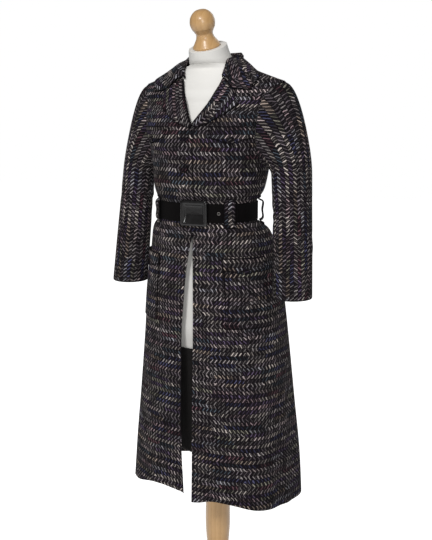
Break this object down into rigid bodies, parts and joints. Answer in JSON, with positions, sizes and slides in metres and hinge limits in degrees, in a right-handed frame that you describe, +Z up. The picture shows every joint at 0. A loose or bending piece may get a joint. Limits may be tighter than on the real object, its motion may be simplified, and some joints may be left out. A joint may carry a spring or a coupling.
{
  "type": "tweed coat on dress form",
  "caption": "Belted single-breasted midi coat in coarse herringbone tweed with notched lapels, flap pockets and wide sleeves, worn on a limbless dress form with a turned wooden stand.",
  "frame": {"origin": "middle of the underside of the stand's round base, on the floor", "axes": "+Z up along the stand, the coat's front faces -Y, the wearer's left is +X"},
  "size_m": [0.56, 0.39, 1.5612],
  "materials": {
    "tweed": "coarse multicolour herringbone wool tweed",
    "velvet": "black velvet belt",
    "jersey_white": "off-white cotton jersey",
    "jersey_black": "black cotton jersey",
    "wood": "clear lacquered turned beech",
    "gloss_black": "polished black",
    "eyelet_metal": "dull gunmetal"
  },
  "bodies": {
    "root": {"front_left": "tweed", "front_right": "tweed", "side_left": "tweed", "side_right": "tweed", "back": "tweed", "sleeve_left": "tweed", "sleeve_right": "tweed", "lapel_left": "tweed", "lapel_right": "tweed", "collar": "tweed", "chest_flap_left": "tweed", "chest_flap_right": "tweed", "chest_button_left": "tweed", "chest_button_right": "tweed", "pocket_left": "tweed", "pocket_right": "tweed", "pocket_flap_left": "tweed", "pocket_flap_right": "tweed", "pocket_button_left": "tweed", "pocket_button_right": "tweed", "front_button_1": "tweed", "front_button_2": "tweed", "carrier_front_left": "tweed", "carrier_front_right": "tweed", "carrier_side_left": "tweed", "carrier_side_right": "tweed", "belt": "velvet", "belt_end": "velvet", "belt_eyelet": "eyelet_metal", "buckle": "gloss_black", "form_body": "jersey_white", "form_lower": "jersey_black", "neck_knob": "wood", "stand_pole": "wood", "stand_base": "wood"}
  },
  "joints": []
}
